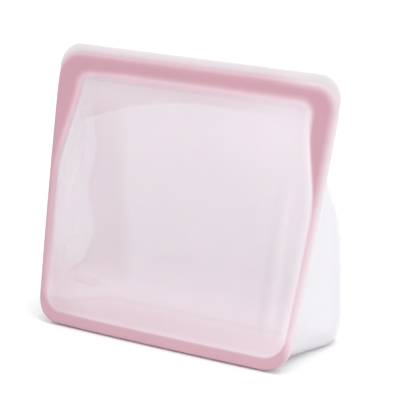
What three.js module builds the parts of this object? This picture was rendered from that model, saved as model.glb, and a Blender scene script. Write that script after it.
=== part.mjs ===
// A stand-up reusable silicone food bag, as the moulded zones that it is made of.
//
// The front is a flat wall that leans back: a thick rim round a thin see-through window, with the press-to-close
// band along its top. The back is a soft tub: two side gussets, a back wall and a flat base, which meet the front at
// the rim. A rib on the back band presses into a channel between two jaws on the front band, and the two thin lips
// above them are what the fingers pull apart.
//
// Units are millimetres. +Z is up, +X is to the right as seen from the front, and the front faces -Y. The origin is
// on the surface that the bag stands on, at the middle of the bag's box.

import * as THREE from "three";

// The front wall, measured up its slope.
const PANEL_HEIGHT = 235;
const TOP_HALF_WIDTH = 133;
const FOOT_HALF_WIDTH = 119;
const SIDE_BOW = 1.3; // how far its sides swell past a straight line
const CORNER_RADIUS = 20;
const LEAN = THREE.MathUtils.degToRad(15.4);

// The tub behind it, measured along the ground and up from it.
const BASE_DEPTH = 104;
const REAR_HALF_WIDTH = 130;
const NECK_HALF_WIDTH = 120; // the same, from NECK_LEVEL up
const NECK_LEVEL = 155;
const REAR_CORNER = 36; // how far the upright rear corners are rounded
const FOOT_HEIGHT = 19; // the level where the curved lower edges end
const REAR_FOOT_INSET = 10; // how far the rear lower edge curves in
const SIDE_FOOT_INSET = 4; // how far the side lower edges curve in
const BACK_PANEL_HALF_WIDTH = 76;
const SIDE_HANDLE = 0.26; // the share of the depth where a side wall turns outwards
const SHOULDER = new THREE.Vector2(-3, 85); // the back wall is upright to here: inset from BASE_DEPTH, and level
const SHOULDER_HANDLE = 45;
const NECK_HANDLE = new THREE.Vector2(58, 125);

// Wall thicknesses and clearances.
const RIM_THICKNESS = 6;
const WINDOW_THICKNESS = 1.5;
const WALL_THICKNESS = 1.8;
const BASE_THICKNESS = 2.2;
const GAP = 0.3; // between neighbouring zones
const BASE_CLEARANCE = 1.4; // between the base and the tub's curved lower edges
const TUB_INSET = 6; // from the rim's edge to where the tub's walls meet it
const TUB_SETBACK = RIM_THICKNESS + GAP; // from the front face to where the tub's walls start
const SEAM_DEPTH = TUB_SETBACK + WALL_THICKNESS; // from the front face to the back of the closed mouth
const FOOT_LIFT = RIM_THICKNESS * Math.sin(LEAN); // the rim stands on its back edge

// The rim round the window. It widens into the seam that holds the two ends of the closure.
const SIDE_RIM_WIDTH = 5.5;
const SEAM_WIDTH = 23;
const SEAM_BOTTOM = 120;
const BOTTOM_RIM_HEIGHT = 10;
const BOTTOM_RIM_REACH = 27; // how far the bottom rim's ends turn up the sides
const WINDOW_TOP = 210;
const WINDOW_FOOT_RADIUS = 17;
const WINDOW_TOP_RADIUS = 9;
const WINDOW_RECESS = 2.6;

// The closure, measured up the front wall and back from its front face.
const CLOSURE_HALF_LENGTH = 106;
const BAND_BOTTOM = 210.5;
const BAND_TOP = 226.5;
const BAND_THICKNESS = 2.5;
const LIP_THICKNESS = 1.5;
const LIP_SETBACK = 2.4;
const SEAL_HALF_LENGTH = 104;
const SEAL_LEVEL = 218.5;
const RIB_WIDTH = 3;
const RIB_TIP_WIDTH = 1.6;
const RIB_HEIGHT = 1.8;
const CHANNEL_WIDTH = 3.8;
const JAW_WIDTH = 2.2;
const JAW_HEIGHT = 2.2;

// A plain raised oval on the window.
const BADGE = { across: -74, height: 40, halfLength: 17, halfHeight: 4, thickness: 0.5 };

// How finely the curves are cut.
const SIDE_STEPS = 24;
const OVAL_STEPS = 24;
const SECTION_STEPS = 6;
const FOOT_ROWS = 5;
const WALL_ROWS = 16;
const FLAT_COLUMNS = 6;

const deepPink = new THREE.MeshStandardMaterial({ color: 0xd4a3b0, roughness: 0.45, metalness: 0 });
const palePink = new THREE.MeshStandardMaterial({ color: 0xe9dce3, roughness: 0.4, metalness: 0 });
const clearWhite = new THREE.MeshStandardMaterial({ color: 0xf1eff4, roughness: 0.4, metalness: 0 });

const bag = new THREE.Group();
bag.position.y = -BASE_DEPTH / 2;

// Everything in this group is drawn flat: x across, y up the front wall, z out of its front face.
const frontPlane = new THREE.Group();
frontPlane.position.z = FOOT_LIFT;
frontPlane.rotation.x = Math.PI / 2 - LEAN;
bag.add(frontPlane);

function addMesh(parent, name, geometry, material) {
  const mesh = new THREE.Mesh(geometry, material);
  mesh.name = name;
  parent.add(mesh);
  return mesh;
}

// ---- The front wall ----

// How far a rounded corner of the given radius pulls the side in, a given distance inside its end.
function filletInset(distance, radius) {
  const reach = THREE.MathUtils.clamp(radius - distance, 0, radius);
  return radius - Math.sqrt(radius * radius - reach * reach);
}

// Half the width of the front at a height on its slope, first with sharp corners and then with round ones.
function sideLine(height) {
  const share = height / PANEL_HEIGHT;
  const straight = THREE.MathUtils.lerp(FOOT_HALF_WIDTH, TOP_HALF_WIDTH, share);
  return straight + 4 * SIDE_BOW * share * (1 - share);
}

function outerHalfWidth(height) {
  const toEnd = Math.min(height, PANEL_HEIGHT - height);
  return sideLine(height) - filletInset(toEnd, CORNER_RADIUS);
}

function windowHalfWidth(height) {
  const seam = THREE.MathUtils.smoothstep(height, SEAM_BOTTOM, WINDOW_TOP);
  const rim = THREE.MathUtils.lerp(SIDE_RIM_WIDTH, SEAM_WIDTH, seam);
  const foot = filletInset(height - BOTTOM_RIM_HEIGHT, WINDOW_FOOT_RADIUS);
  const top = filletInset(WINDOW_TOP - height, WINDOW_TOP_RADIUS);
  return sideLine(height) - rim - foot - top;
}

// Heights between two levels, closer together near each end, where the corners are round.
function heightsBetween(low, high, steps) {
  return Array.from({ length: steps + 1 }, (_, i) => {
    const share = (1 - Math.cos((Math.PI * i) / steps)) / 2;
    return THREE.MathUtils.lerp(low, high, share);
  });
}

// The points of an edge, upwards: side is 1 for the right-hand edge and -1 for the left.
function edgePoints(halfWidth, heights, side) {
  return heights.map((height) => new THREE.Vector2(side * halfWidth(height), height));
}

// A flat plate of the front, from its back level to its front level, both measured forwards of the front face.
function addPlate(name, outline, back, front, material) {
  const geometry = new THREE.ExtrudeGeometry(new THREE.Shape(outline), {
    depth: front - back,
    bevelEnabled: false,
  });
  const mesh = addMesh(frontPlane, name, geometry, material);
  mesh.position.z = back;
}

function bar(halfLength, bottom, top) {
  return [
    new THREE.Vector2(-halfLength, bottom),
    new THREE.Vector2(halfLength, bottom),
    new THREE.Vector2(halfLength, top),
    new THREE.Vector2(-halfLength, top),
  ];
}

function addBottomRim() {
  const outer = heightsBetween(0, BOTTOM_RIM_REACH, SIDE_STEPS / 2);
  const inner = heightsBetween(BOTTOM_RIM_HEIGHT, BOTTOM_RIM_REACH, SIDE_STEPS / 2);
  const outline = [
    ...edgePoints(outerHalfWidth, outer, 1),
    ...edgePoints(windowHalfWidth, inner, 1).reverse(),
    ...edgePoints(windowHalfWidth, inner, -1),
    ...edgePoints(outerHalfWidth, outer, -1).reverse(),
  ];
  addPlate("bottom_rim", outline, -RIM_THICKNESS, 0, deepPink);
}

function addSideRim(name, side) {
  const heights = heightsBetween(BOTTOM_RIM_REACH + GAP, SEAM_BOTTOM - GAP, SIDE_STEPS / 2);
  const outline = [
    ...edgePoints(outerHalfWidth, heights, side),
    ...edgePoints(windowHalfWidth, heights, side).reverse(),
  ];
  addPlate(name, outline, -RIM_THICKNESS, 0, deepPink);
}

// The bonded seam beside the closure carries the top corner. It passes under the end of the band, and stops just
// short of the ends of the band and the lip.
function addSeam(name, side) {
  const closureEnd = side * (CLOSURE_HALF_LENGTH + GAP);
  const underBand = BAND_BOTTOM - GAP;
  const outline = [
    ...edgePoints(outerHalfWidth, heightsBetween(SEAM_BOTTOM, PANEL_HEIGHT, SIDE_STEPS), side),
    new THREE.Vector2(closureEnd, PANEL_HEIGHT),
    new THREE.Vector2(closureEnd, underBand),
    new THREE.Vector2(side * windowHalfWidth(WINDOW_TOP), underBand),
    ...edgePoints(windowHalfWidth, heightsBetween(SEAM_BOTTOM, WINDOW_TOP, SIDE_STEPS), side).reverse(),
  ];
  addPlate(name, outline, -RIM_THICKNESS, 0, deepPink);
}

// The window fills the rim's opening, apart from the gap all round it.
function addWindow() {
  const halfWidth = (height) => {
    const opening = Math.min(windowHalfWidth(height - GAP), windowHalfWidth(height + GAP));
    return opening - GAP;
  };
  const heights = heightsBetween(BOTTOM_RIM_HEIGHT + GAP, WINDOW_TOP - GAP, SIDE_STEPS * 2);
  const outline = [...edgePoints(halfWidth, heights, 1), ...edgePoints(halfWidth, heights, -1).reverse()];
  addPlate("front_window", outline, -WINDOW_RECESS - WINDOW_THICKNESS, -WINDOW_RECESS, palePink);
}

function addBadge() {
  const back = -WINDOW_RECESS + GAP;
  const oval = new THREE.EllipseCurve(BADGE.across, BADGE.height, BADGE.halfLength, BADGE.halfHeight);
  addPlate("blank_badge", oval.getPoints(OVAL_STEPS).slice(1), back, back + BADGE.thickness, palePink);
}

// ---- The closure ----

// The front half of the closure: a thick band, the lip above it, and two jaws on the band's inner face with the
// channel between them.
function addFrontClosure() {
  const band = bar(CLOSURE_HALF_LENGTH, BAND_BOTTOM, BAND_TOP);
  addPlate("front_band", band, -BAND_THICKNESS, 0, deepPink);
  const lip = bar(CLOSURE_HALF_LENGTH, BAND_TOP + GAP, PANEL_HEIGHT);
  addPlate("front_lip", lip, -LIP_SETBACK - LIP_THICKNESS, -LIP_SETBACK, palePink);
  addJaw("upper_seal_jaw", SEAL_LEVEL + CHANNEL_WIDTH / 2);
  addJaw("lower_seal_jaw", SEAL_LEVEL - CHANNEL_WIDTH / 2 - JAW_WIDTH);
}

function addJaw(name, bottom) {
  const front = -BAND_THICKNESS - GAP;
  addPlate(name, bar(SEAL_HALF_LENGTH, bottom, bottom + JAW_WIDTH), front - JAW_HEIGHT, front, deepPink);
}

function addBackClosure() {
  const bandFront = -SEAM_DEPTH + BAND_THICKNESS;
  const band = bar(CLOSURE_HALF_LENGTH, BAND_BOTTOM, BAND_TOP);
  addPlate("back_band", band, -SEAM_DEPTH, bandFront, deepPink);
  const lipBack = -SEAM_DEPTH + LIP_SETBACK;
  const lip = bar(CLOSURE_HALF_LENGTH, BAND_TOP + GAP, PANEL_HEIGHT);
  addPlate("back_lip", lip, lipBack, lipBack + LIP_THICKNESS, palePink);
  addRib(bandFront + GAP);
}

// The rib tapers towards its tip, so that it leaves the channel freely as the mouth opens. Its section is drawn with
// x pointing back and y up the wall, and runs across the bag.
function addRib(root) {
  const section = new THREE.Shape([
    new THREE.Vector2(0, -RIB_WIDTH / 2),
    new THREE.Vector2(0, RIB_WIDTH / 2),
    new THREE.Vector2(-RIB_HEIGHT, RIB_TIP_WIDTH / 2),
    new THREE.Vector2(-RIB_HEIGHT, -RIB_TIP_WIDTH / 2),
  ]);
  const geometry = new THREE.ExtrudeGeometry(section, { depth: 2 * SEAL_HALF_LENGTH, bevelEnabled: false });
  const rib = addMesh(frontPlane, "seal_rib", geometry, deepPink);
  rib.rotation.y = Math.PI / 2;
  rib.position.set(-SEAL_HALF_LENGTH, SEAL_LEVEL, root);
}

// ---- The tub ----

// A point given on the front wall, in the bag's own axes: x across, y back from the front foot and z up.
function onFront(across, height, forward) {
  return new THREE.Vector3(
    across,
    height * Math.sin(LEAN) - forward * Math.cos(LEAN),
    FOOT_LIFT + height * Math.cos(LEAN) + forward * Math.sin(LEAN),
  );
}

// Where the tub's right-hand wall starts, just behind the rim, at a level above the ground.
function frontEdge(level) {
  const height = (level - FOOT_LIFT + TUB_SETBACK * Math.sin(LEAN)) / Math.cos(LEAN);
  const across = outerHalfWidth(Math.max(height, 0)) - TUB_INSET;
  return onFront(across, height, -TUB_SETBACK);
}

// The tub's rear seen from the side, with x as the depth and y as the level: first the curved foot, and then the
// wall, which is upright to its shoulder and comes in to the closed mouth.
const rearFoot = new THREE.EllipseCurve(
  BASE_DEPTH - REAR_FOOT_INSET, FOOT_HEIGHT, REAR_FOOT_INSET, FOOT_HEIGHT, -Math.PI / 2, 0,
);
const rearWall = new THREE.CurvePath();
const footTop = new THREE.Vector2(BASE_DEPTH, FOOT_HEIGHT);
const shoulder = new THREE.Vector2(BASE_DEPTH + SHOULDER.x, SHOULDER.y);
const shoulderHandle = shoulder.clone().sub(footTop).setLength(SHOULDER_HANDLE).add(shoulder);
const mouth = onFront(0, WINDOW_TOP, -SEAM_DEPTH);
rearWall.add(new THREE.LineCurve(footTop, shoulder));
rearWall.add(new THREE.CubicBezierCurve(
  shoulder, shoulderHandle, NECK_HANDLE, new THREE.Vector2(mouth.y, mouth.z),
));

const footRows = spaced(rearFoot, FOOT_ROWS);
const wallRows = spaced(rearWall, WALL_ROWS);

function spaced(curve, rows) {
  return Array.from({ length: rows + 1 }, (_, i) => curve.getPointAt(i / rows));
}

// One level of the right-hand gusset: from the rim along the side, round the rear corner and on to the back wall.
function gussetSection(rear) {
  const start = frontEdge(rear.y);
  const inset = (filletInset(rear.y, FOOT_HEIGHT) / FOOT_HEIGHT) * SIDE_FOOT_INSET;
  const neck = THREE.MathUtils.smoothstep(rear.y, SHOULDER.y, NECK_LEVEL);
  const halfWidth = THREE.MathUtils.lerp(REAR_HALF_WIDTH, NECK_HALF_WIDTH, neck) - inset;
  const corner = new THREE.Vector3(halfWidth, rear.x, rear.y);
  const end = new THREE.Vector3(BACK_PANEL_HALF_WIDTH + GAP, rear.x, rear.y);
  const handle = start.clone();
  handle.y = THREE.MathUtils.lerp(start.y, corner.y, SIDE_HANDLE);
  const sideLength = corner.distanceTo(handle);
  const radius = Math.min(REAR_CORNER, sideLength * 0.7);
  const intoCorner = corner.clone().lerp(handle, radius / sideLength);
  const outOfCorner = corner.clone().lerp(end, radius / corner.distanceTo(end));
  const section = new THREE.CurvePath();
  section.add(new THREE.QuadraticBezierCurve3(start, handle, intoCorner));
  section.add(new THREE.QuadraticBezierCurve3(intoCorner, corner, outOfCorner));
  section.add(new THREE.LineCurve3(outOfCorner, end));
  return section.getPoints(SECTION_STEPS);
}

// The same point, or the nearest one that is clear of the rim's back face.
function behindRim(point) {
  const forward = new THREE.Vector3(0, -Math.cos(LEAN), Math.sin(LEAN));
  const excess = point.clone().sub(onFront(0, 0, -TUB_SETBACK)).dot(forward);
  return point.addScaledVector(forward, -Math.max(excess, 0));
}

// The inner face of a wall whose outer face is the given grid of points, each row running from right to left.
function innerGrid(grid) {
  const last = grid.length - 1;
  return grid.map((row, i) => row.map((point, j) => {
    const upwards = grid[Math.min(i + 1, last)][j].clone().sub(grid[Math.max(i - 1, 0)][j]);
    const along = row[Math.min(j + 1, row.length - 1)].clone().sub(row[Math.max(j - 1, 0)]);
    const inwards = upwards.cross(along).setLength(WALL_THICKNESS);
    return behindRim(inwards.add(point));
  }));
}

// A closed thin solid whose outer face is the given grid of points.
function wallGeometry(grid) {
  const points = [...grid.flat(), ...innerGrid(grid).flat()];
  const width = grid[0].length;
  const layer = grid.length * width;
  const indices = [];
  const quad = (a, b, c, d) => indices.push(a, b, c, a, c, d);
  for (let a = 0; a < layer - width; a++) {
    if (a % width === width - 1) continue;
    quad(a, a + 1, a + width + 1, a + width);
    quad(layer + a, layer + a + width, layer + a + width + 1, layer + a + 1);
  }
  for (let left = 0; left < layer - width; left += width) {
    const right = left + width - 1;
    quad(left, left + width, layer + left + width, layer + left);
    quad(right + width, right, layer + right, layer + right + width);
  }
  for (let foot = 0; foot < width - 1; foot++) {
    const top = layer - width + foot;
    quad(foot + 1, foot, layer + foot, layer + foot + 1);
    quad(top, top + 1, layer + top + 1, layer + top);
  }
  const geometry = new THREE.BufferGeometry().setFromPoints(points);
  geometry.setIndex(indices);
  geometry.computeVertexNormals();
  return geometry;
}

// The same wall as seen in a mirror across the bag's middle.
function mirrored(geometry) {
  const copy = geometry.clone().scale(-1, 1, 1);
  const index = copy.getIndex();
  for (let i = 0; i < index.count; i += 3) {
    const second = index.getX(i + 1);
    index.setX(i + 1, index.getX(i + 2));
    index.setX(i + 2, second);
  }
  copy.computeVertexNormals();
  return copy;
}

function addGussets() {
  const rows = [...footRows, ...wallRows.slice(1)];
  const right = wallGeometry(rows.map(gussetSection));
  addMesh(bag, "right_gusset", right, clearWhite);
  addMesh(bag, "left_gusset", mirrored(right), clearWhite);
}

// A stretch of the rear between the two gussets, raised a little to clear what is below it.
function addRearWall(name, rows, lift) {
  const grid = rows.map((rear, i) => Array.from({ length: FLAT_COLUMNS + 1 }, (_, j) => {
    const across = BACK_PANEL_HALF_WIDTH * (1 - (2 * j) / FLAT_COLUMNS);
    return new THREE.Vector3(across, rear.x, rear.y + (i === 0 ? lift : 0));
  }));
  addMesh(bag, name, wallGeometry(grid), clearWhite);
}

// The base fills the ring that the bottom rim and the tub's lower edges leave on the ground.
function addBase() {
  const frontDepth = onFront(0, 0, -TUB_SETBACK).y + BASE_THICKNESS * Math.tan(LEAN) + GAP;
  const edge = gussetSection(footRows[0]).slice(0, -1);
  const rightHalf = edge.map((point, i) => {
    const along = edge[Math.min(i + 1, edge.length - 1)].clone().sub(edge[Math.max(i - 1, 0)]);
    const inwards = new THREE.Vector2(-along.y, along.x).setLength(BASE_CLEARANCE);
    return new THREE.Vector2(point.x + inwards.x, Math.max(point.y + inwards.y, frontDepth));
  });
  const leftHalf = rightHalf.map((point) => new THREE.Vector2(-point.x, point.y)).reverse();
  const geometry = new THREE.ExtrudeGeometry(new THREE.Shape([...rightHalf, ...leftHalf]), {
    depth: BASE_THICKNESS,
    bevelEnabled: false,
  });
  addMesh(bag, "base_panel", geometry, palePink);
}

addBottomRim();
for (const [word, side] of [["left", -1], ["right", 1]]) {
  addSideRim(`${word}_side_rim`, side);
  addSeam(`${word}_seam`, side);
}
addWindow();
addBadge();
addFrontClosure();
addBackClosure();
addGussets();
addRearWall("rear_foot", footRows, 0);
addRearWall("back_wall", wallRows, GAP);
addBase();

export default bag;
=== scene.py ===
import math

import bpy
import numpy as np
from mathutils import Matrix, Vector


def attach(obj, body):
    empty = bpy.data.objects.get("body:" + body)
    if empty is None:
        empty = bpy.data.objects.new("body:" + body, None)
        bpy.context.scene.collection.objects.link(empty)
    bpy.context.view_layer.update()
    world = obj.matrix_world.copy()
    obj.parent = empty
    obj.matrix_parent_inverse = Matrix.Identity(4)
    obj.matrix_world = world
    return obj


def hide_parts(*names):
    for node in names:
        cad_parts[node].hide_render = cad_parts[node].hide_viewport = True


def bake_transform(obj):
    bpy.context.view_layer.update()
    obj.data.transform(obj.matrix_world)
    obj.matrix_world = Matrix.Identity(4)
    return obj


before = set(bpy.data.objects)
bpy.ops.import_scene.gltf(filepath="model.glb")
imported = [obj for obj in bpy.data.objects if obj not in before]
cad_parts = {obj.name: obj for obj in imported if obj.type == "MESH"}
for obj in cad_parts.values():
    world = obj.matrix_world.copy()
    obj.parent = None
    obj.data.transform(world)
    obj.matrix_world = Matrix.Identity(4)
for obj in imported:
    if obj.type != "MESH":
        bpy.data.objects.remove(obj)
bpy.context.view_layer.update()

# A stand-up silicone food bag. It is two soft mouldings that meet at the rim: the front, with its rim,
# window, closure band and lip, and the tub behind it, with its gussets, back wall, rear band and lip.
# Lengths are in millimetres until a mesh is made. A place on the front wall is given as its distance
# across, its height up the slope and its depth behind the front face.

MM = 0.001

# ---- The front wall's plan, the same as in the CAD ----

LEAN = math.radians(15.4)
PANEL_HEIGHT = 235
FOOT_HALF_WIDTH = 119
TOP_HALF_WIDTH = 133
SIDE_BOW = 1.3
CORNER_RADIUS = 20
FRONT_FOOT = -52
FOOT_LIFT = 6 * math.sin(LEAN)
SIDE_RIM_WIDTH = 5.5
SEAM_WIDTH = 23
SEAM_BOTTOM = 120
WINDOW_BOTTOM = 10
WINDOW_TOP = 210
WINDOW_FOOT_RADIUS = 17
WINDOW_TOP_RADIUS = 9
BAND_TOP = 226.5
BAND_CORNER_RADIUS = 21
BAND_INSET = 0.4  # from the side of the rim to the outline of the pink zone
BELOW_FOOT = -200  # far enough below the ground that the pink zone has no edge at the foot
LIP_STEP = (226.0, 227.6)  # the heights between which the band steps to the lip
MOUTH_HALF_WIDTH = 106
SEAL_LEVEL = 218.5

# Depths below the front face.
WINDOW_RECESS = 2.6
WINDOW_BACK = 4.1
LIP_SETBACK = 2.4
LIP_BACK = 3.9
BAND_BACK = 2.5
SEAM_BACK = 8.1
RIM_BACK = 6.3
REAR_BAND_FRONT = 5.6
REAR_LIP_FRONT = 4.2
REAR_LIP_BACK = 5.7

# ---- The tub's plan, the same as in the CAD ----

BASE_DEPTH = 104
REAR_HALF_WIDTH = 130
NECK_HALF_WIDTH = 120
NECK_LEVEL = 155
REAR_CORNER = 36
FOOT_HEIGHT = 19
REAR_FOOT_INSET = 10
SIDE_FOOT_INSET = 4
SIDE_HANDLE = 0.26
TUB_INSET = 6
TUB_SETBACK = 6.3
WALL_THICKNESS = 1.8
SHOULDER = np.array([BASE_DEPTH - 3.0, 85.0])
SHOULDER_HANDLE = 45
NECK_HANDLE = np.array([58.0, 125.0])


def smoothstep(value, low, high):
    """0 up to low, 1 from high on, and a smooth rise between them."""
    share = np.clip((np.asarray(value, float) - low) / (high - low), 0, 1)
    return share * share * (3 - 2 * share)


def fade_out(value, start, end):
    """1 up to the start, 0 from the end on, and a smooth fall between them."""
    return 1 - smoothstep(value, start, end)


def mix(a, b, share):
    return a + (b - a) * share


def smooth_line(value, points):
    """A smooth line through the points, which are pairs whose first numbers rise."""
    result = points[0][1]
    for (low, start), (high, end) in zip(points, points[1:]):
        result = result + (end - start) * smoothstep(value, low, high)
    return result


def ridge(value, width):
    """1 on a line and fading to 0 on both sides of it, from the distance to the line."""
    return np.exp(-(value / width) ** 2)


def fillet_inset(distance, radius):
    """How far a rounded corner pulls the side in, a given distance inside its end."""
    reach = np.clip(radius - distance, 0, radius)
    return radius - np.sqrt(radius * radius - reach * reach)


def side_line(height):
    share = height / PANEL_HEIGHT
    return mix(FOOT_HALF_WIDTH, TOP_HALF_WIDTH, share) + 4 * SIDE_BOW * share * (1 - share)


def outer_half_width(height):
    to_end = np.minimum(height, PANEL_HEIGHT - height)
    return side_line(height) - fillet_inset(to_end, CORNER_RADIUS)


def window_half_width(height):
    rim = mix(SIDE_RIM_WIDTH, SEAM_WIDTH, smoothstep(height, SEAM_BOTTOM, WINDOW_TOP))
    foot = fillet_inset(height - WINDOW_BOTTOM, WINDOW_FOOT_RADIUS)
    top = fillet_inset(WINDOW_TOP - height, WINDOW_TOP_RADIUS)
    return side_line(height) - rim - foot - top


def band_half_width(height):
    """Half the width of the pink zone, whose upper corners are rounder than the lip's."""
    return side_line(height) - BAND_INSET - fillet_inset(BAND_TOP - height, BAND_CORNER_RADIUS)


def on_front(across, height, depth):
    """A place on the front wall, in the row frame's axes. Depth is counted into the bag."""
    across, height, depth = np.broadcast_arrays(across, height, depth)
    back = FRONT_FOOT + height * math.sin(LEAN) + depth * math.cos(LEAN)
    level = FOOT_LIFT + height * math.cos(LEAN) - depth * math.sin(LEAN)
    return np.stack([across, back, level], axis=-1)


OUTLINE_STEPS = 160
CHUNK = 2000  # how many points are measured at a time


def outline(half_width, low, high):
    """The closed outline of a shape of that half width, as points across and up."""
    share = (1 - np.cos(np.pi * np.arange(OUTLINE_STEPS + 1) / OUTLINE_STEPS)) / 2
    heights = mix(low, high, share)
    right = np.stack([half_width(heights), heights], axis=-1)
    left = right[::-1] * [-1, 1]
    return np.concatenate([right, left])


def distance_to(points, line):
    """The distance from each point to a closed line of short straight stretches."""
    flat = points.reshape(-1, 2)
    start = line
    step = np.roll(line, -1, axis=0) - line
    length2 = np.maximum((step ** 2).sum(1), 1e-12)
    nearest = np.full(len(flat), np.inf)
    for first in range(0, len(flat), CHUNK):
        part = flat[first:first + CHUNK, None, :] - start[None]
        share = np.clip((part * step).sum(-1) / length2, 0, 1)
        gap = part - share[..., None] * step
        nearest[first:first + CHUNK] = np.sqrt((gap ** 2).sum(-1)).min(1)
    return nearest.reshape(points.shape[:-1])


def signed_distance(across, height, half_width, low, high):
    """The distance inside an outline, and below 0 outside it."""
    points = np.stack(np.broadcast_arrays(across, height), axis=-1)
    widest = half_width(np.clip(height, low, high))
    inside = (height >= low) & (height <= high) & (np.abs(across) <= widest)
    distance = distance_to(points, outline(half_width, low, high))
    return np.where(inside, distance, -distance)


def edge_drop(inside, radius):
    """How far a rounded edge has turned away, a given distance inside it."""
    return fillet_inset(np.maximum(inside, 0), radius)


# ---- Meshes ----

# The silicone takes its looks from four attributes. Pink is the share of its deep colour, film is how
# thin and clear it is, the painted shading is how much painted light or shade makes it lighter or
# darker, and grey is how far its pale colour turns to a greyish white.

def shell(name, outer, inner, attributes):
    """A closed thin solid between two grids. Each attribute has a value for every point of both."""
    rows, columns = outer.shape[:2]
    layer = rows * columns
    index = np.arange(layer).reshape(rows, columns)
    corners = [index[:-1, :-1], index[:-1, 1:], index[1:, 1:], index[1:, :-1]]
    outer_faces = np.stack(corners, axis=-1).reshape(-1, 4)
    inner_faces = outer_faces[:, ::-1] + layer
    border = np.concatenate([index[0, :-1], index[:-1, -1], index[-1, :0:-1], index[:0:-1, 0]])
    following = np.roll(border, -1)
    edge_faces = np.stack([following, border, border + layer, following + layer], axis=-1)
    points = np.concatenate([outer.reshape(-1, 3), inner.reshape(-1, 3)]) * MM
    faces = np.concatenate([outer_faces, inner_faces, edge_faces])
    return new_piece(name, points, faces.tolist(), attributes)


def new_piece(name, points, faces, attributes):
    mesh = bpy.data.meshes.new(name)
    mesh.from_pydata(points.tolist(), [], faces)
    mesh.polygons.foreach_set("use_smooth", [True] * len(mesh.polygons))
    for key, value in attributes.items():
        layer = mesh.attributes.new(key, "FLOAT", "POINT")
        layer.data.foreach_set("value", np.asarray(value, np.float32).ravel())
    mesh.update()
    piece = bpy.data.objects.new(name, mesh)
    bpy.context.scene.collection.objects.link(piece)
    return piece


def both(outer, inner):
    """One value for each point of a shell, from the values on its outer and inner grids."""
    return np.concatenate([np.ravel(outer), np.ravel(inner)])


# ---- Baking placements ----


def opens_with(piece):
    """Bakes the piece's placement into its mesh."""
    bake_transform(piece)


# ---- The front moulding ----

SEAM_OVERLAP = 1.4  # how deep the fused seam runs into the rear band beside the mouth

# The grid's columns and rows: distances inside the outer edge, and distances outside the window.
EDGE_STOPS = np.array([0, 0.15, 0.5, 1.0, 1.6, 2.4])
STEP_STOPS = np.array([1.2, 0.5])
RIM_COLUMNS = 14
WINDOW_COLUMNS = 132
WINDOW_ROWS = 168
FOOT_ROWS = 6
BAND_ROWS = 18
LIP_ROWS = 8
SIDE_CROWDING = 0.3  # how much closer together the window's columns are towards its sides


def rim_columns(outer, inner):
    """Where the grid's columns cross one row of the rim, from its outer edge to the window."""
    width = outer - inner
    scale = min(1, width / SIDE_RIM_WIDTH)
    edge = EDGE_STOPS * scale
    step = width - STEP_STOPS * scale
    middle = np.linspace(edge[-1], step[0], RIM_COLUMNS + 1)[1:-1]
    return outer - np.concatenate([edge, middle, step])


def front_rows():
    """Heights of the grid's rows, closer together at every edge."""
    edge = EDGE_STOPS
    share = (1 - np.cos(np.pi * np.arange(WINDOW_ROWS + 1) / WINDOW_ROWS)) / 2
    window = mix(WINDOW_BOTTOM, WINDOW_TOP, share)
    foot = np.linspace(edge[-1], WINDOW_BOTTOM, FOOT_ROWS + 1)[1:-1]
    band = np.linspace(WINDOW_TOP, BAND_TOP, BAND_ROWS + 1)[1:]
    lip = np.linspace(BAND_TOP, PANEL_HEIGHT - edge[-1], LIP_ROWS + 1)[1:-1]
    return np.concatenate([edge, foot, window, band, lip, PANEL_HEIGHT - edge[::-1]])


def front_grid():
    """How far across and up the front each point of its grid is."""
    rows = front_rows()
    even = np.linspace(-1, 1, WINDOW_COLUMNS + 1)
    spacing = even * (1 + SIDE_CROWDING - SIDE_CROWDING * even * even)
    across = []
    for height in rows:
        outer = float(outer_half_width(height))
        inner = float(window_half_width(np.clip(height, WINDOW_BOTTOM, WINDOW_TOP)))
        rim = rim_columns(outer, inner)
        across.append(np.concatenate([-rim, spacing * inner, rim[::-1]]))
    across = np.array(across)
    return across, np.broadcast_to(rows[:, None], across.shape)


# ---- The film's marks ----

# The wavy edge of the fold on the film's left, and a wrinkle beside it, as height and across pairs.
# The edge gets painted shade, and the wrinkle painted lit and shaded sides.
FOLD_EDGE = [(45, -94), (60, -79), (80, -74), (120, -86), (150, -83), (190, -94)]
FILM_WRINKLE = [(60, -104), (85, -97), (110, -104), (140, -98), (170, -102), (198, -92)]
WRINKLE_WIDTH = 1.6
FOLD_FOOT = (35, 60)  # the heights between which the fold and its wrinkle set in
FOLD_TOP = (175, 200)  # and those between which they die out
FOLD_RIGHT = -28  # where the fold ends on its right, at the foot of the wall
FOLD_SLANT = 0.2  # how far that end moves left for each millimetre up
FOLD_SOFTNESS = 10

# Short creases beside the fold, each with painted shade, from one place to another, as across and height.
FILM_CREASES = [
    ((-111, 138), (-102, 160)),
    ((-104, 158), (-90, 152)),
    ((-92, 182), (-85, 154)),
    ((-114, 140), (-112, 98)),
    ((-105, 92), (-92, 86)),
    ((-99, 72), (-86, 76)),
    ((-108, 186), (-101, 166)),
]
CREASE_WIDTH = 1.1
CREASE_BOW = 1.5
CREASE_FADE = 0.4  # the share of its length over which each end of a crease fades

# An arched line near the top, with a painted highlight along it and a pinker neck above it. It drops
# to the left of its crown.
ARCH_HEIGHT = 197
ARCH_DROP = 21
ARCH_CROWN = 20
ARCH_REACH = 108
ARCH_WIDTH = 1.3
ARCH_LEFT = -106

# A faint line above the foot, lower on the left, with painted shade along it and pinker film below it.
FOOT_LINE = 30
FOOT_LINE_DROP = 11
FOOT_LINE_WIDTH = 1.8

# An upright groove on the film's right, with a painted highlight, and a soft ridge on its left, with
# painted shade.
GROOVE_ACROSS = 101
GROOVE_WIDTH = 4
GROOVE_RIDGE_ACROSS = 92
GROOVE_RIDGE_WIDTH = 3

# The film's left, which is pinker and has painted shade low down, and its upper right, which has a
# painted highlight. Each pair is the two places between which a change runs.
LEFT_SIDE = (60, 110)
LOW_LEFT_TOP = (40, 80)
PAINTED_HIGHLIGHT_CORNER = (60, 170)
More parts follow.
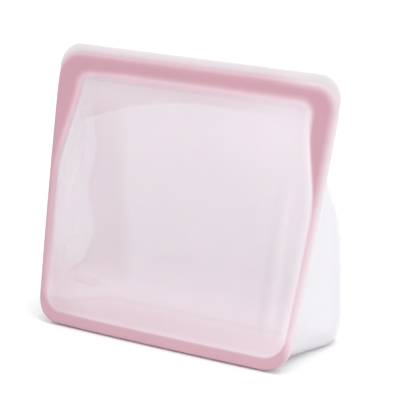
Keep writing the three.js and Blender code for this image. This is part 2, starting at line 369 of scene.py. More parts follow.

# What the marks do to the film: how far they sink it, how much pinker they make it, and how much painted
# light they add, or painted shade below 0.
MARK_DEPTH = {
    "fold": 0.6, "fold_edge": -0.6, "wrinkle": -0.7, "arch": -0.3, "crease": -0.5,
    "groove": 0.8, "groove_ridge": -0.5, "foot_line": 0.25,
}
MARK_PINK = {"fold": 0.22, "neck": 0.26, "foot": 0.24, "low_left": 0.17}
# Painted light and shade of the marks: painted highlights on the upper right corner, the arch and the
# groove, painted lit and shaded sides on the wrinkle, and painted shade on the fold's edge, the soft ridge,
# the foot line, the creases and the film's low left.
MARK_PAINTED_SHADING = {
    "painted_highlight_corner": 0.10, "arch": 0.045, "painted_wrinkle_shading": -0.07, "fold_edge": -0.05, "groove": 0.08,
    "groove_ridge": -0.05, "foot_line": -0.03, "crease": -0.04, "low_left": -0.03,
}


def crease(across, height, start, end):
    """A short bowed crease between two places on the film, which fades towards both ends."""
    run, rise = end[0] - start[0], end[1] - start[1]
    length = math.hypot(run, rise)
    along = ((across - start[0]) * run + (height - start[1]) * rise) / length
    aside = ((height - start[1]) * run - (across - start[0]) * rise) / length
    bowed = aside - CREASE_BOW * (1 - (2 * along / length - 1) ** 2)
    fade = CREASE_FADE * length
    return ridge(bowed, CREASE_WIDTH) * smoothstep(along, 0, fade) * smoothstep(length - along, 0, fade)


def film_marks(across, height):
    """How strongly each mark shows at each place. Only the wrinkle's painted lit and shaded sides go below
    0, on the wrinkle's left.
    """
    from_fold = across - smooth_line(height, FOLD_EDGE)
    to_fold_end = FOLD_RIGHT - FOLD_SLANT * height - across
    fold_reach = smoothstep(height, *FOLD_FOOT) * fade_out(height, *FOLD_TOP)
    fold = smoothstep(from_fold, -0.8, 1.4) * smoothstep(to_fold_end, -FOLD_SOFTNESS, FOLD_SOFTNESS)
    from_wrinkle = across - smooth_line(height, FILM_WRINKLE)
    wrinkle = ridge(from_wrinkle, WRINKLE_WIDTH) * fold_reach
    above_arch = height - ARCH_HEIGHT + ARCH_DROP * (np.maximum(ARCH_CROWN - across, 0) / ARCH_REACH) ** 2
    neck = smoothstep(above_arch, -0.5, 3) * smoothstep(across, ARCH_LEFT, ARCH_LEFT + 14)
    arch = ridge(above_arch, ARCH_WIDTH) * smoothstep(across, ARCH_LEFT, ARCH_LEFT + 12)
    below_line = FOOT_LINE - FOOT_LINE_DROP * smoothstep(-across, 45, 100) - height
    groove_reach = smoothstep(height, 20, 45) * fade_out(height, 125, 160)
    return {
        "fold": fold * fold_reach,
        "fold_edge": ridge(from_fold, WRINKLE_WIDTH) * fold_reach,
        "wrinkle": wrinkle,
        "painted_wrinkle_shading": from_wrinkle / WRINKLE_WIDTH * wrinkle,
        "crease": sum(crease(across, height, start, end) for start, end in FILM_CREASES),
        "neck": neck * fade_out(across, 0, 110),
        "arch": arch * fade_out(across, -20, 70),
        "foot": smoothstep(below_line, -9, 10) * mix(1, 0.625, smoothstep(across, 0, 90)),
        "foot_line": ridge(below_line, FOOT_LINE_WIDTH),
        "low_left": smoothstep(-across, *LEFT_SIDE) * fade_out(height, *LOW_LEFT_TOP),
        "groove": ridge(across - GROOVE_ACROSS, GROOVE_WIDTH) * groove_reach,
        "groove_ridge": ridge(across - GROOVE_RIDGE_ACROSS, GROOVE_RIDGE_WIDTH) * groove_reach,
        "painted_highlight_corner": smoothstep(across + 0.8 * (height - 110), *PAINTED_HIGHLIGHT_CORNER),
    }


def total(marks, amounts):
    """What the marks add up to at each place, from the amount that each of them gives."""
    return sum(amount * marks[name] for name, amount in amounts.items())


BELLY = 1.2  # how far the middle of the film bulges out of the bag
SLACK_REACH = 40  # how far inside its edge the film is fully slack


def film_swell(across, height, window, marks):
    """How far the slack film has sunk into the bag, or out of it where it is below 0."""
    broad_wave = 0.45 * np.sin(across / 31 + 0.8) * np.sin(height / 47 + 0.4)
    slanting_wave = 0.25 * np.sin((across + height) / 19)
    share = np.clip((height - WINDOW_BOTTOM) / (WINDOW_TOP - WINDOW_BOTTOM), 0, 1)
    belly = -BELLY * np.sin(np.pi * share)
    swell = (broad_wave + slanting_wave + belly) * smoothstep(window, 0, SLACK_REACH)
    return swell + total(marks, MARK_DEPTH) * smoothstep(window, 0, 8)


# ---- The front's colours ----

# Where they change, as the two places between which each change runs.
RIGHT_SIDE = (60, 118)
RIGHT_FOOT = (8, 30)
RIGHT_SEAM = (88, 112)
RIGHT_SEAM_TOP = (176, 216)
FOOT_TOP = (14, 30)
UPPER_WALL = (110, 170)
HALO_FOOT = (150, 220)
GREY_FOOT = (20, 60)
GREY_SIDES = (80, 120)

# How pink the front is, from 0 to 1. The pairs run from lower on the wall to higher up.
LEFT_RIM_PINK = (0.89, 1)
RIGHT_RIM_PINK = (0.8, 1)
LIP_PINK = 0.16
FILM_PINK = 0.04
HALO_PINK = 0.25  # in the film beside the band
LEFT_HALO_PINK = 0.42
HALO_REACH = 5

# Painted light and shade: how much lighter the front is painted than plain silicone, or darker below 0.
FILM_TONE = -0.01
STEP_PAINTED_LIGHT = (0.03, 0.08)
SEAM_STEP_PAINTED_LIGHT = 0.06
FOOT_STEP_PAINTED_SHADE = -0.05
BESIDE_STEP_PAINTED_LIGHT = 0.12
LEFT_BESIDE_STEP_PAINTED_LIGHT = 0.08
LIP_PAINTED_SHADE = -0.02
LIP_TOP_PAINTED_SHADE = -0.05
LIP_FOOT_PAINTED_SHADE = -0.04
RIGHT_RIM_PAINTED_LIGHT = 0.035
LOW_LEFT_RIM_PAINTED_SHADE = -0.025
LEFT_EDGE_PAINTED_SHADE = -0.15

MIDDLE_GREY = 0.6  # how grey the top of the rim is in the middle of the mouth


def rim_pink(height, window, band, left, right, crisp):
    """How pink the thick silicone is, and how much of its pink is left towards its outer edge."""
    # The pink fades softly into the film, except where it is crisp.
    soft_end = mix(2.5, 7.5 - 2 * left, smoothstep(height, *UPPER_WALL))
    fade_start = mix(-4, -1.2, crisp) - 2 * left
    fade_end = mix(soft_end, 2.0, crisp)
    inner_fade = smoothstep(-window, fade_start, fade_end)

    # Below the mouth it runs right to the left edge. It fades before the edge at the top and on the right.
    sideways = 6 * left * fade_out(height, 165, 220) - 3 * right
    outer_fade = smoothstep(band + sideways, -7, 4.5)
    left_pink = mix(*LEFT_RIM_PINK, smoothstep(height, 110, 160))
    right_pink = mix(*RIGHT_RIM_PINK, smoothstep(height, 70, 150))
    return inner_fade * outer_fade * mix(left_pink, right_pink, right), outer_fade


def front_colour(across, height, inside, window, band, lip, marks):
    """How pink each place on the front is, how much painted light or shade makes it lighter or darker than
    plain silicone, and how grey.
    """
    left = smoothstep(-across, *LEFT_SIDE)
    right = smoothstep(across, *RIGHT_SIDE) * smoothstep(height, *RIGHT_FOOT)
    right_seam = smoothstep(across, *RIGHT_SEAM) * fade_out(height, *RIGHT_SEAM_TOP)
    foot = fade_out(height, *FOOT_TOP)
    rim, outer_fade = rim_pink(height, window, band, left, right, np.maximum(right_seam, foot))

    lip_pink = LIP_PINK * lip * fade_out(-band, 1, 7)
    halo = np.exp(-np.maximum(window, 0) / HALO_REACH)
    halo = halo * smoothstep(height + 1.2 * np.abs(across), *HALO_FOOT)
    halo_pink = mix(HALO_PINK, LEFT_HALO_PINK, left * fade_out(height, 110, 150)) * (1 - right_seam)
    film_pink = FILM_PINK + total(marks, MARK_PINK) + halo_pink * halo
    pink = np.maximum(np.maximum(rim, lip_pink), film_pink * smoothstep(window, -6, -1))

    # Painted highlight on the step down to the film, and on the film beside it, where they catch the light;
    # along the foot the step gets painted shade instead.
    painted_upper_step_light = mix(mix(*STEP_PAINTED_LIGHT, smoothstep(height, *UPPER_WALL)), SEAM_STEP_PAINTED_LIGHT, right_seam)
    painted_step_shading = mix(painted_upper_step_light, FOOT_STEP_PAINTED_SHADE, foot) * ridge(window + 0.5, 3.5)
    painted_beside_step_light = mix(BESIDE_STEP_PAINTED_LIGHT, LEFT_BESIDE_STEP_PAINTED_LIGHT, left) * (1 - foot) * ridge(window - 3, 3)
    # The marks' painted light and shade on the film, which is also painted slightly darker overall.
    painted_film_shading = (FILM_TONE + total(marks, MARK_PAINTED_SHADING)) * smoothstep(window, 0, 4)

    # Painted shade: the lip is darker towards its top, less so on the right, and along the line where it
    # meets the band.
    painted_lip_shade = (LIP_PAINTED_SHADE + LIP_TOP_PAINTED_SHADE * smoothstep(-band, 2, 7)) * (1 - 0.4 * right) * lip
    painted_lip_foot_shade = LIP_FOOT_PAINTED_SHADE * ridge(band - 0.5, 2.5) * smoothstep(height, 190, 215)

    # Painted light and shade on the rim: lighter towards the right, and darker low on the left and round
    # its left edge.
    painted_right_rim_light = RIGHT_RIM_PAINTED_LIGHT * rim * smoothstep(across, -60, 60)
    painted_low_left_rim_shade = LOW_LEFT_RIM_PAINTED_SHADE * left * rim * fade_out(height, 120, 160)
    painted_left_edge_shade = LEFT_EDGE_PAINTED_SHADE * left * fade_out(inside, 0, 3) * fade_out(height, 170, 215)
    painted_shading = painted_film_shading + painted_step_shading + painted_beside_step_light + painted_lip_shade + painted_lip_foot_shade + painted_right_rim_light + painted_low_left_rim_shade + painted_left_edge_shade

    # Outside its pink the rim is a greyish white, most of all at its sides.
    sides = mix(MIDDLE_GREY, 1, smoothstep(np.abs(across), *GREY_SIDES))
    grey = (1 - outer_fade) * smoothstep(height, *GREY_FOOT) * sides
    return pink, painted_shading, grey


# ---- Building the front ----

CROWN = 0.9  # how far the middle of the rim stands out beyond its sides
FRONT_EDGE_RADIUS = 1.6
LIP_EDGE_RADIUS = 0.7
BACK_EDGE_RADIUS = 1.4
SEAM_EDGE_RADIUS = 2.6
FOOT_BOW = 1.6  # how far the middle of the foot bows forward
FOOT_BOW_TOP = 70
FOOT_HAZE = 0.8  # the share of its clearness that the film loses at its foot
FOOT_HAZE_TOP = (20, 75)

# The front's back face: its pink and grey as shares of the front face's, its clearness, and its painted
# shade, which makes it darker than plain silicone.
BACK_FACE_PINK = 0.15
BACK_FACE_GREY = 0.5
BACK_FACE_CLEARNESS = 1.8
BACK_FACE_PAINTED_SHADE = -0.06


def build_front():
    across, height = front_grid()
    inside = np.maximum(signed_distance(across, height, outer_half_width, 0, PANEL_HEIGHT), 0)
    window = signed_distance(across, height, window_half_width, WINDOW_BOTTOM, WINDOW_TOP)
    band = signed_distance(across, height, band_half_width, BELOW_FOOT, BAND_TOP)
    film = smoothstep(window, -2.0, 4.5)
    lip = fade_out(band, -1.4, 1.6) * smoothstep(height, 196, 212)
    mouth = fade_out(np.abs(across), MOUTH_HALF_WIDTH, MOUTH_HALF_WIDTH + 3) * smoothstep(height, 207, 211)

    # The front face: a crowned rim, a soft step down to the film, and a thin lip.
    crown = CROWN * (1 - smoothstep(-window, -0.5, 6) * smoothstep(band, -0.5, 6))
    front = crown * (1 - film) * (1 - lip) + WINDOW_RECESS * film + LIP_SETBACK * lip
    front_radius = mix(FRONT_EDGE_RADIUS, LIP_EDGE_RADIUS, lip)
    front = front + edge_drop(inside, FRONT_EDGE_RADIUS) * (front_radius / FRONT_EDGE_RADIUS)
    marks = film_marks(across, height)
    swell = film_swell(across, height, window, marks)

    # The back face.
    seam = smoothstep(height, 60, 140)
    rim_back = mix(mix(RIM_BACK, SEAM_BACK, seam), SEAM_BACK - SEAM_OVERLAP, smoothstep(height, 204, 209))
    rim_back = mix(rim_back, REAR_LIP_BACK - SEAM_OVERLAP / 2, lip)
    back = mix(rim_back, WINDOW_BACK, smoothstep(window, -1.6, 1.0))
    back = mix(back, mix(BAND_BACK, LIP_BACK, smoothstep(height, *LIP_STEP)), mouth)
    side_radius = mix(BACK_EDGE_RADIUS, SEAM_EDGE_RADIUS, seam)
    back_radius = mix(side_radius, LIP_EDGE_RADIUS, np.maximum(mouth, lip))
    back = back - edge_drop(inside, SEAM_EDGE_RADIUS) * (back_radius / SEAM_EDGE_RADIUS)

    outer = on_front(across, height, front + swell)
    inner = on_front(across, height, back + swell)
    bow = FOOT_BOW * (1 - (across / FOOT_HALF_WIDTH) ** 2) * fade_out(height, 0, FOOT_BOW_TOP)
    outer[..., 1] -= bow
    inner[..., 1] -= bow

    # The film is thicker, and so less clear, towards its foot.
    clear = film * (1 - FOOT_HAZE * fade_out(height, *FOOT_HAZE_TOP))
    pink, painted_shading, grey = front_colour(across, height, inside, window, band, lip, marks)
    piece = shell("front_moulding", outer, inner, {
        "pink": both(pink, BACK_FACE_PINK * pink),
        "film": both(clear, clear * BACK_FACE_CLEARNESS),
        "painted_shading": both(painted_shading, np.full(painted_shading.shape, BACK_FACE_PAINTED_SHADE)),
        "grey": both(grey, BACK_FACE_GREY * grey),
    })
    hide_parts("bottom_rim", "left_side_rim", "right_side_rim", "left_seam", "right_seam",
                "front_window", "front_band", "front_lip")
    return piece


# The badge: a plain raised oval on the film.
BADGE_ACROSS = -74
BADGE_HEIGHT = 40
BADGE_HALF_LENGTH = 17
BADGE_HALF_HEIGHT = 4
BADGE_RISE = 0.6
BADGE_ROOT = 0.3  # how deep it reaches into the film
BADGE_STEPS = 32


def build_badge():
    share = np.sin(np.linspace(-np.pi / 2, np.pi / 2, BADGE_STEPS + 1))
    u, v = np.meshgrid(share, share)
    x = u * np.sqrt(1 - v * v / 2)
    y = v * np.sqrt(1 - u * u / 2)
    across = BADGE_ACROSS + BADGE_HALF_LENGTH * x
    height = BADGE_HEIGHT + BADGE_HALF_HEIGHT * y
    window = signed_distance(across, height, window_half_width, WINDOW_BOTTOM, WINDOW_TOP)
    film_face = WINDOW_RECESS + film_swell(across, height, window, film_marks(across, height))
    rise = BADGE_RISE * smoothstep(1 - x * x - y * y, 0, 0.6)
    top = on_front(across, height, film_face - rise)
    root = on_front(across, height, film_face + BADGE_ROOT)
    flat = np.ones(across.shape)
    piece = shell("badge_pad", top, root, {
        "pink": both(flat * 0.06, flat * 0.06),
        "film": both(flat, flat * 1.3),
        "painted_shading": both(flat * 0.08, flat * 0.04),
    })
    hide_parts("blank_badge")
    return piece


# ---- The tub ----

FOOT_STEPS = 8
WALL_STEPS = 12
NECK_STEPS = 32
SIDE_POINTS = 20
CORNER_POINTS = 14
REAR_POINTS = 18
REAR_BAND_ROWS = 10
REAR_LIP_ROWS = 8
CORNER_SHARE = 0.7  # the most of a short side that its rear corner may round off
BURIED_DEPTH = TUB_SETBACK - 2.5  # the depth of the tub's front edges, inside the rim and the seams
BURIED_THICKNESS = 0.1  # of the rear band, at its buried ends
END_CROWDING = 1.25  # above 1, the rear band's columns are closer together towards its ends
END_REACH = 3  # how far inside its ends the rear band reaches its full thickness


def bezier2(a, b, c, steps):
    t = np.linspace(0, 1, steps + 1)[:, None]
    return (1 - t) ** 2 * a + 2 * t * (1 - t) * b + t * t * c


def front_edge(level):
    """Where the tub's right-hand wall starts, just behind the rim, at a level above the ground."""
    height = (level - FOOT_LIFT + TUB_SETBACK * math.sin(LEAN)) / math.cos(LEAN)
    across = outer_half_width(max(height, 0)) - TUB_INSET
    return on_front(across, height, TUB_SETBACK), height


def rear_profile():
    """The rear seen from the side, as depth and level: the curved foot and the wall up to the mouth."""
    angle = np.linspace(-np.pi / 2, 0, FOOT_STEPS + 1)
    centre = np.array([BASE_DEPTH - REAR_FOOT_INSET, FOOT_HEIGHT])
    foot = centre + np.stack([REAR_FOOT_INSET * np.cos(angle), FOOT_HEIGHT * np.sin(angle)], axis=-1)
    foot_top = np.array([BASE_DEPTH, FOOT_HEIGHT], float)
    up = SHOULDER - foot_top
    shoulder_handle = SHOULDER + up / np.linalg.norm(up) * SHOULDER_HANDLE
    mouth = on_front(0, WINDOW_TOP, SEAM_BACK)[1:] - [FRONT_FOOT, 0]
    wall = mix(foot_top, SHOULDER, np.linspace(0, 1, WALL_STEPS + 1)[1:, None])
    t = np.linspace(0, 1, NECK_STEPS + 1)[1:, None]
    neck = ((1 - t) ** 3 * SHOULDER + 3 * t * (1 - t) ** 2 * shoulder_handle
            + 3 * t * t * (1 - t) * NECK_HANDLE + t ** 3 * mouth)
    return np.concatenate([foot, wall, neck])


def tub_section(depth, level):
    """The right half of one level of the tub, from inside the rim to the middle of the back."""
    start, height = front_edge(level)
    inset = fillet_inset(level, FOOT_HEIGHT) / FOOT_HEIGHT * SIDE_FOOT_INSET
    neck = smoothstep(level, SHOULDER[1], NECK_LEVEL)
    half_width = mix(REAR_HALF_WIDTH, NECK_HALF_WIDTH, neck) - inset
    rear = FRONT_FOOT + depth
    corner = np.array([half_width, rear, level])
    middle = np.array([0, rear, level])
    handle = np.array([start[0], mix(start[1], rear, SIDE_HANDLE), level])
    side_length = np.linalg.norm(corner - handle)
    radius = min(REAR_CORNER, side_length * CORNER_SHARE)
    into_corner = mix(corner, handle, radius / side_length)
    out_of_corner = mix(corner, middle, radius / np.linalg.norm(corner - middle))
    root = on_front(start[0], height, BURIED_DEPTH)
    return np.concatenate([
        root[None],
        bezier2(start, handle, into_corner, SIDE_POINTS),
        bezier2(into_corner, corner, out_of_corner, CORNER_POINTS)[1:],
        mix(out_of_corner, middle, np.linspace(0, 1, REAR_POINTS + 1)[1:, None]),
    ])


def closure_section(height, band_depth, lip_depth, edge_depth):
    """The right half of one face of the rear band and lip, at a height up the front wall."""
    edge = float(outer_half_width(height)) - TUB_INSET
    count = SIDE_POINTS + CORNER_POINTS + REAR_POINTS + 2
    across = edge * (1 - np.linspace(0, 1, count) ** END_CROWDING)
    middle_depth = mix(band_depth, lip_depth, smoothstep(height, *LIP_STEP))
    depth = mix(edge_depth, middle_depth, smoothstep(edge - across, 0, END_REACH))
    return on_front(across, height, depth)


def both_halves(rows):
    """A grid whose rows run right across the bag, from rows for its right half."""
    right = np.array(rows)
    return np.concatenate([right, right[:, -2::-1] * [-1, 1, 1]], axis=1)


def grid_normals(grid):
    along = np.gradient(grid, axis=1)
    upwards = np.gradient(grid, axis=0)
    normal = np.cross(along, upwards)
    return normal / np.linalg.norm(normal, axis=-1, keepdims=True)


# The tub's colours: how pink it is, and how much painted light or shade makes it lighter or darker than
# plain silicone.
REAR_BAND_PINK = 0.85
TUB_FOOT_PINK = 0.10
INNER_CORNER_PAINTED_SHADE = -0.08
TUB_FOOT_PAINTED_LIGHT = 0.06
OUTER_CORNER_PAINTED_SHADE = -0.03
BACK_WALL_PAINTED_SHADE = -0.08


def build_tub():
    wall = both_halves([tub_section(depth, level) for depth, level in rear_profile()])
    closure_heights = np.concatenate([
        np.linspace(WINDOW_TOP, BAND_TOP, REAR_BAND_ROWS + 1)[1:],
        np.linspace(BAND_TOP, PANEL_HEIGHT, REAR_LIP_ROWS + 1)[1:],
    ])
    closure_back = both_halves([
        closure_section(height, SEAM_BACK, REAR_LIP_BACK, BURIED_DEPTH) for height in closure_heights
    ])
    closure_front = both_halves([
        closure_section(height, REAR_BAND_FRONT, REAR_LIP_FRONT, BURIED_DEPTH - BURIED_THICKNESS)
        for height in closure_heights
    ])
    outer = np.concatenate([wall, closure_back])
    inner = outer - grid_normals(outer) * WALL_THICKNESS
    inner[len(wall):] = closure_front

    level = outer[..., 2]
    height = (level - FOOT_LIFT + SEAM_BACK * math.sin(LEAN)) / math.cos(LEAN)
    band = smoothstep(height, 206, 216) * fade_out(height, 223, 231)
    foot = fade_out(level, 2, 16)
    pink = REAR_BAND_PINK * band + TUB_FOOT_PINK * foot
    film = 1 - band

    # Columns are counted outwards from the middle of the back, with 0 at the start of each rear corner.
    column = np.abs(np.arange(outer.shape[1]) - outer.shape[1] // 2) - REAR_POINTS
    corner = smoothstep(column, -4, 2) * fade_out(column, CORNER_POINTS - 2, CORNER_POINTS)
    back = fade_out(column, -2, 6) * smoothstep(level, 10, 40)

    # Painted shade makes the rear corners a little darker inside. Outside it darkens the back and the rear
    # corners, and painted light makes the foot lighter.
    inner_painted_shade = INNER_CORNER_PAINTED_SHADE * corner * smoothstep(level, 8, 24)
    outer_painted_shading = TUB_FOOT_PAINTED_LIGHT * foot + OUTER_CORNER_PAINTED_SHADE * corner + BACK_WALL_PAINTED_SHADE * back
    piece = shell("tub_moulding", outer, inner, {
        "pink": both(pink, pink),
        "film": both(film, film * 1.5),
        "painted_shading": both(outer_painted_shading, inner_painted_shade),
    })
    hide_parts("left_gusset", "right_gusset", "rear_foot", "back_wall", "back_band", "back_lip")
    return piece


# ---- The base ----

BASE_ROWS = 29
BASE_COLUMNS = 48
BASE_OVERLAP = 1.5  # how far the base runs into the foot of the rim
BASE_CLEARANCE = 0.15  # above the ground
BASE_DOME = 1.1
DOME_REACH = 18
BASE_THICKNESS = 2.0


def build_base():
    """A thin sheet, a little domed, that runs into the tub's curved lower edge and the foot of the rim."""
    edge = tub_section(*rear_profile()[0])[1:-1]
    side = edge[:SIDE_POINTS + CORNER_POINTS + 1]
    front = on_front(0, 0, RIM_BACK - BASE_OVERLAP)[1]
    depths = mix(front, edge[:, 1].max(), np.sin(np.linspace(0, np.pi / 2, BASE_ROWS + 1)))
    half_widths = np.interp(depths, side[:, 1], side[:, 0])[:, None]
    share = np.linspace(-1, 1, BASE_COLUMNS + 1)
    across = half_widths * share
    rows = np.broadcast_to(depths[:, None], across.shape)
    inside = np.minimum(half_widths * (1 - np.abs(share)), np.minimum(rows - front, depths[-1] - rows))
    level = BASE_CLEARANCE + BASE_DOME * smoothstep(inside, 0, DOME_REACH)
    bottom = np.stack([across, rows, level], axis=-1)
    top = bottom + [0, 0, BASE_THICKNESS]
    flat = np.ones(level.shape)
    # Its top gets a little painted light, to lift the shade it lies in.
    piece = shell("base_sheet", top, bottom, {
        "pink": both(flat * 0.06, flat * 0.06),
        "film": both(flat * 1.2, flat),
        "painted_shading": both(flat * 0.04, flat * 0),
    })
    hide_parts("base_panel")
    return piece


# ---- The seal ----

SEAL_HALF_LENGTH = 104
SEAL_STEPS = 72
SEAL_PINK = 0.8
SEAL_ROOT = 0.4  # how deep the jaws and the rib are rooted in their bands
JAW_OFFSET = 3.0  # from the middle of the seal to the middle of each jaw
JAW_WIDTH = 2.2
JAW_TIP_DEPTH = 5.0
RIB_WIDTH = 3.0
RIB_TIP_DEPTH = 3.5
TIP_WIDTH = 1.6
TIP_STEPS = 8
TAPER_LENGTH = 4
TAPER_END = 0.3  # the share of its width that a bar keeps at its ends


def sweep(name, profile, height):
    """A bar across the mouth whose section is given as height above its middle and depth."""
    across = np.linspace(-SEAL_HALF_LENGTH, SEAL_HALF_LENGTH, SEAL_STEPS + 1)
    taper = mix(TAPER_END, 1, smoothstep(SEAL_HALF_LENGTH - np.abs(across), 0, TAPER_LENGTH))
    grid = np.array([
        on_front(x, height + profile[:, 0] * width, profile[:, 1]) for x, width in zip(across, taper)
    ])
    columns = len(profile)
    index = np.arange(grid.shape[0] * columns).reshape(-1, columns)
    following = np.roll(index, -1, axis=1)
    sides = np.stack([index[:-1], following[:-1], following[1:], index[1:]], axis=-1).reshape(-1, 4)
    faces = sides.tolist() + [index[0, ::-1].tolist(), index[-1].tolist()]
    flat = np.ones(index.size)
    looks = {"pink": flat * SEAL_PINK, "film": flat * 0, "painted_shading": flat * 0}
    return new_piece(name, grid.reshape(-1, 3) * MM, faces, looks)


def round_bar(width, root, tip):
    """A bar's section, from its root to its rounded tip."""
    angle = np.linspace(-np.pi / 2, np.pi / 2, TIP_STEPS + 1)
    cap = TIP_WIDTH / 2
    direction = math.copysign(1, tip - root)
    tip_centre = tip - direction * cap
    nose = np.stack([cap * np.sin(angle), tip_centre + direction * cap * np.cos(angle)], axis=-1)
    foot = np.array([[width / 2, root], [-width / 2, root]])
    points = np.concatenate([nose, foot])
    return points if direction > 0 else points[::-1]


def build_seal():
    jaw_section = round_bar(JAW_WIDTH, BAND_BACK - SEAL_ROOT, JAW_TIP_DEPTH)
    upper = sweep("seal_channel_upper", jaw_section, SEAL_LEVEL + JAW_OFFSET)
    lower = sweep("seal_channel_lower", jaw_section, SEAL_LEVEL - JAW_OFFSET)
    rib = sweep("seal_ridge", round_bar(RIB_WIDTH, REAR_BAND_FRONT + SEAL_ROOT, RIB_TIP_DEPTH), SEAL_LEVEL)
    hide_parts("upper_seal_jaw")
    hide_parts("lower_seal_jaw")
    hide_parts("seal_rib")
    return [upper, lower], rib


# ---- Materials ----

CLEAN_SILICONE = (0.80, 0.77, 0.79)  # the greyish white at the outer edge of the rim
CLOUD_SCALE = 14
CLOUD_DETAIL = 3
CLOUD_SHADE = (0.98, 1.02)  # how much the clouds darken and lighten the silicone
CLOUD_HAZE = (-0.03, 0.03)  # and how much clearer and less clear they make it
GRAIN_SCALE = 900
GRAIN_DETAIL = 2
ROUGHNESS = (0.36, 0.50)


def silicone(name, pale, deep, thin_alpha, thick_alpha):
    material = bpy.data.materials.new(name)
    material.use_nodes = True
    nodes, links = material.node_tree.nodes, material.node_tree.links
    shader = nodes["Principled BSDF"]

    def add(kind, **values):
        node = nodes.new(kind)
        for key, value in values.items():
            setattr(node, key, value)
        return node

    def attribute(key):
        node = add("ShaderNodeAttribute", attribute_name=key)
        return node.outputs["Fac"]

    def sum_of(a, b):
        node = add("ShaderNodeMath", operation="ADD")
        links.new(a, node.inputs[0])
        links.new(b, node.inputs[1])
        return node.outputs[0]

    def remap(value, low, high):
        node = add("ShaderNodeMapRange", clamp=False)
        links.new(value, node.inputs["Value"])
        node.inputs["To Min"].default_value = low
        node.inputs["To Max"].default_value = high
        return node.outputs["Result"]

    def noise(scale, detail):
        coordinates = add("ShaderNodeTexCoord")
        node = add("ShaderNodeTexNoise")
        node.inputs["Scale"].default_value = scale
        node.inputs["Detail"].default_value = detail
        links.new(coordinates.outputs["Object"], node.inputs["Vector"])
        return node.outputs["Fac"]

    cloudy = noise(CLOUD_SCALE, CLOUD_DETAIL)
    grain = noise(GRAIN_SCALE, GRAIN_DETAIL)
    clean = add("ShaderNodeMix", data_type="RGBA")
    links.new(attribute("grey"), clean.inputs["Factor"])
    clean.inputs["A"].default_value = (*pale, 1)
    clean.inputs["B"].default_value = (*CLEAN_SILICONE, 1)
    tint = add("ShaderNodeMix", data_type="RGBA")
    links.new(attribute("pink"), tint.inputs["Factor"])
    links.new(clean.outputs["Result"], tint.inputs["A"])
    tint.inputs["B"].default_value = (*deep, 1)
    shade = add("ShaderNodeMix", data_type="RGBA", blend_type="MULTIPLY")
    shade.inputs["Factor"].default_value = 1
    links.new(tint.outputs["Result"], shade.inputs["A"])
    # The painted light and shade is added to the clouds' random shading, and the sum multiplies the colour.
    level = sum_of(remap(cloudy, *CLOUD_SHADE), attribute("painted_shading"))
    links.new(level, shade.inputs["B"])
    links.new(shade.outputs["Result"], shader.inputs["Base Color"])

    alpha = remap(attribute("film"), thick_alpha, thin_alpha)
    haze = remap(cloudy, *CLOUD_HAZE)
    links.new(sum_of(alpha, haze), shader.inputs["Alpha"])

    links.new(remap(grain, *ROUGHNESS), shader.inputs["Roughness"])
    shader.inputs["IOR"].default_value = 1.41
    shader.inputs["Subsurface Weight"].default_value = 0.15
    shader.inputs["Subsurface Radius"].default_value = (1.0, 0.6, 0.7)
    shader.inputs["Subsurface Scale"].default_value = 0.003

    bump = add("ShaderNodeBump")
    bump.inputs["Strength"].default_value = 0.12
    bump.inputs["Distance"].default_value = 0.0002
    links.new(grain, bump.inputs["Height"])
    links.new(bump.outputs["Normal"], shader.inputs["Normal"])
    return material


def dress(piece, material):
    piece.data.materials.clear()
    piece.data.materials.append(material)


# ---- Camera, floor and light ----

# Sizes and places here are in metres.
CAMERA_PLACE = (0.7389, -1.1745, 0.5225)
CAMERA_AROUND = 31.8
CAMERA_ABOVE = 16.5
FLOOR_SIZE = 12
FLOOR_GAP = 0.0002  # between the floor and the bag
LIGHT_PLACE = (0.5, 0.3, 2.6)
LIGHT_AIM = (0, 0, 0.1)
LIGHT_SIZE = 1.8
LIGHT_POWER = 26


def build_camera():
    azimuth = math.radians(CAMERA_AROUND)
    elevation = math.radians(CAMERA_ABOVE)
    back = Vector((math.sin(azimuth) * math.cos(elevation), -math.cos(azimuth) * math.cos(elevation),
                   math.sin(elevation)))
    data = bpy.data.cameras.new("camera")
    data.sensor_width = 36
    data.lens = 159.39
    data.clip_end = 50
    camera = bpy.data.objects.new("camera", data)
    bpy.context.scene.collection.objects.link(camera)
    camera.rotation_mode = "QUATERNION"
    camera.rotation_quaternion = (-back).to_track_quat("-Z", "Y")
    camera.location = CAMERA_PLACE
    bpy.context.scene.camera = camera


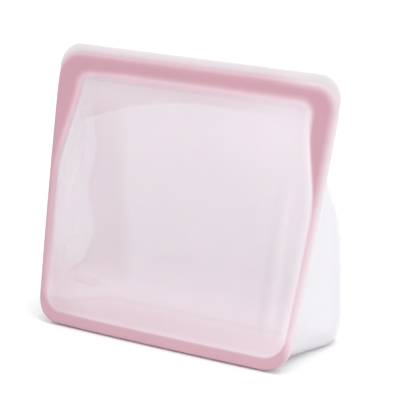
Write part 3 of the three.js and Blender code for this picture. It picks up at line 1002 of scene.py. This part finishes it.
def build_floor():
    mesh = bpy.data.meshes.new("floor")
    half = FLOOR_SIZE / 2
    corners = [(-half, -half, 0), (half, -half, 0), (half, half, 0), (-half, half, 0)]
    mesh.from_pydata(corners, [], [(0, 1, 2, 3)])
    floor = bpy.data.objects.new("floor", mesh)
    floor.location.z = -FLOOR_GAP
    bpy.context.scene.collection.objects.link(floor)
    material = bpy.data.materials.new("floor_white")
    material.use_nodes = True
    shader = material.node_tree.nodes["Principled BSDF"]
    shader.inputs["Base Color"].default_value = (0.9, 0.9, 0.9, 1)
    shader.inputs["Roughness"].default_value = 0.9
    shader.inputs["Specular IOR Level"].default_value = 0.1
    mesh.materials.append(material)


def build_light():
    world = bpy.data.worlds.new("studio")
    bpy.context.scene.world = world
    world.use_nodes = True
    background = world.node_tree.nodes["Background"]
    background.inputs["Color"].default_value = (1, 1, 1, 1)
    background.inputs["Strength"].default_value = 1.0
    data = bpy.data.lights.new("overhead", "AREA")
    data.shape = "DISK"
    data.size = LIGHT_SIZE
    data.energy = LIGHT_POWER
    light = bpy.data.objects.new("overhead", data)
    light.location = LIGHT_PLACE
    light.rotation_mode = "QUATERNION"
    light.rotation_quaternion = (Vector(LIGHT_AIM) - Vector(LIGHT_PLACE)).to_track_quat("-Z", "Y")
    bpy.context.scene.collection.objects.link(light)
    bpy.context.scene.view_settings.view_transform = "Standard"


build_camera()
build_floor()
build_light()

front = build_front()
tub = build_tub()
base = build_base()
badge = build_badge()
jaws, rib = build_seal()

rim_silicone = silicone(
    "rim_silicone", pale=(0.86, 0.76, 0.82), deep=(0.59, 0.33, 0.40), thin_alpha=0.5, thick_alpha=0.97,
)
tub_silicone = silicone(
    "tub_silicone", pale=(0.93, 0.92, 0.96), deep=(0.62, 0.35, 0.42), thin_alpha=0.62, thick_alpha=0.97,
)

dress(front, rim_silicone)
dress(tub, tub_silicone)
dress(base, tub_silicone)
opens_with(front)
opens_with(tub)
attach(base, "tub")
for jaw in jaws:
    dress(jaw, rim_silicone)
    opens_with(jaw)
dress(rib, rim_silicone)
opens_with(rib)
dress(badge, rim_silicone)
opens_with(badge)
